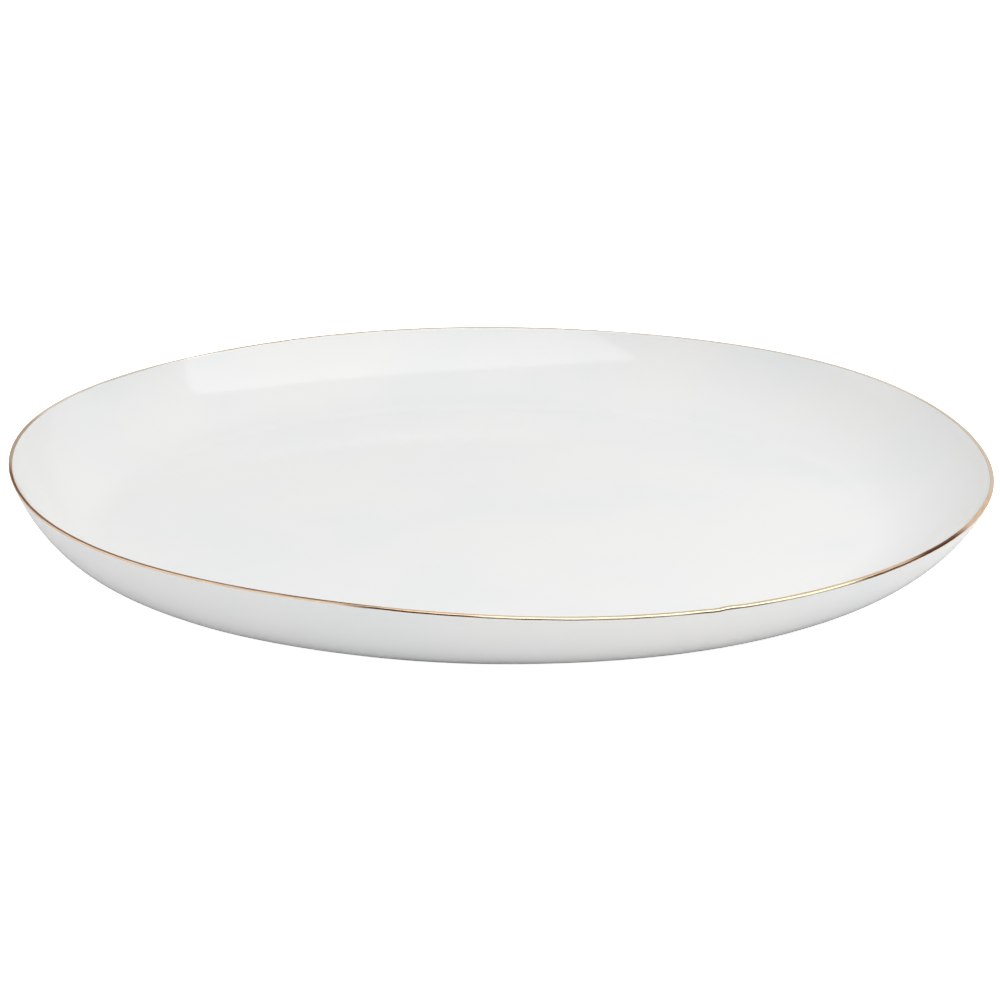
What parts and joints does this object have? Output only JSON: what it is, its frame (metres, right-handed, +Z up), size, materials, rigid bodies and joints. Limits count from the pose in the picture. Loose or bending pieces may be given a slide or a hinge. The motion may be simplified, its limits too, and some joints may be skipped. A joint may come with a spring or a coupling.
{
  "type": "china serving platter",
  "caption": "Large round white porcelain serving platter with a flat well, a steep curved wall, a foot ring, a slightly wavering hand-shaped outline and a thin gold rim.",
  "frame": {"origin": "centre of the finished outline's box in plan, on the plane that the foot ring stands on", "axes": "+Z up, +X along the slightly longer way across the platter; -Y is the side that faces the viewer of the picture"},
  "size_m": [0.38, 0.371, 0.0354],
  "materials": {
    "bisque": "matt fired clay, bare on the foot ring",
    "glaze": "high gloss clear glaze over white porcelain",
    "gold": "burnished gold lustre, brushed on by hand"
  },
  "bodies": {
    "root": {"porcelain_body": "bisque", "glaze_coat": "glaze", "base_glaze": "glaze", "gold_rim": "gold"}
  },
  "joints": []
}
